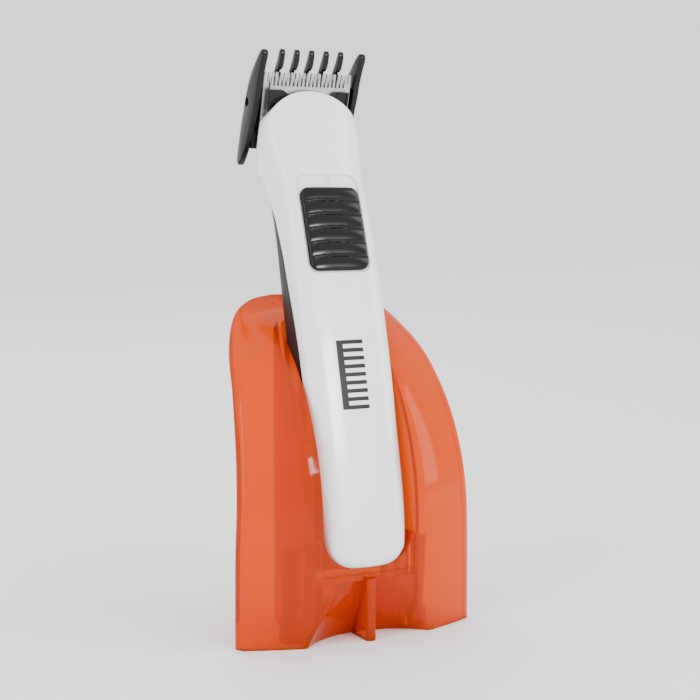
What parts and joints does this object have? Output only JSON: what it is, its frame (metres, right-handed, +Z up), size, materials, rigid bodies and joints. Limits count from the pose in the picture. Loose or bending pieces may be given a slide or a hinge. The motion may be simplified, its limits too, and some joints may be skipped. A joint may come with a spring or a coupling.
{
  "type": "hair clipper",
  "caption": "Slim rechargeable hair clipper with a slide switch and an adjustable guide comb, leaning in a translucent one-piece stand.",
  "frame": {"origin": "middle of the product's bounding box, on the plane that the stand rests on", "axes": "+Z up and the product's longest extent; +X to the product's left-right, with the halves mirrored across X = 0; -Y is the front with the switch and the stand's slot, and the clipper leans back towards +Y"},
  "size_m": [0.0864, 0.065, 0.1939],
  "materials": {
    "orange_clear": "clear orange moulding, polished",
    "white_gloss": "gloss white moulding",
    "black_satin": "satin black moulding",
    "black_gloss": "semi-gloss black moulding",
    "blade_steel": "ground steel",
    "screw_steel": "zinc-plated steel",
    "motor_steel": "drawn steel",
    "copper_winding": "enamelled copper winding",
    "dark_magnet": "ferrite",
    "cam_white": "natural acetal",
    "cell_wrap": "shrink wrap",
    "brass_contact": "plated spring brass",
    "green_board": "solder mask"
  },
  "bodies": {
    "stand": {"stand_shell": "orange_clear"},
    "clipper": {"front_shell": "white_gloss", "rear_shell": "black_satin", "head_frame": "black_gloss", "fixed_blade": "blade_steel", "blade_spring": "blade_steel", "blade_screw_left": "screw_steel", "blade_screw_right": "screw_steel", "housing_screw_1": "screw_steel", "housing_screw_2": "screw_steel", "housing_screw_3": "screw_steel", "housing_screw_4": "screw_steel", "motor_can": "motor_steel", "motor_end_cap": "black_satin", "motor_mount": "black_satin", "field_magnet": "dark_magnet", "battery_cell": "cell_wrap", "battery_contact_upper": "brass_contact", "battery_contact_lower": "brass_contact", "switch_contact": "brass_contact", "circuit_board": "green_board", "charge_socket": "black_satin"},
    "rotor": {"motor_shaft": "motor_steel", "motor_armature": "copper_winding", "eccentric_cam": "cam_white"},
    "cutter": {"moving_blade": "blade_steel", "cutter_carrier": "cam_white"},
    "comb": {"guide_comb": "black_gloss"},
    "switch": {"switch_button": "black_gloss"}
  },
  "joints": [
    {"name": "clipper_lift", "type": "slide", "parent": "stand", "child": "clipper", "axis": [0, 0.2329, 0.9725], "range_m": [0, 0.1]},
    {"name": "rotor_spin", "type": "hinge", "parent": "clipper", "child": "rotor", "pos_m": [0, 0.01012, 0.15023], "axis": [0, 0.2329, 0.9725], "continuous": true},
    {"name": "cutter_stroke", "type": "slide", "parent": "clipper", "child": "cutter", "axis": [1, 0, 0], "range_m": [-0.0009, 0.0009]},
    {"name": "comb_slide", "type": "slide", "parent": "clipper", "child": "comb", "axis": [0, -0.2644, 0.9644], "range_m": [0, 0.04]},
    {"name": "switch_slide", "type": "slide", "parent": "clipper", "child": "switch", "axis": [0, 0.2946, 0.9556], "range_m": [0, 0.004]}
  ]
}
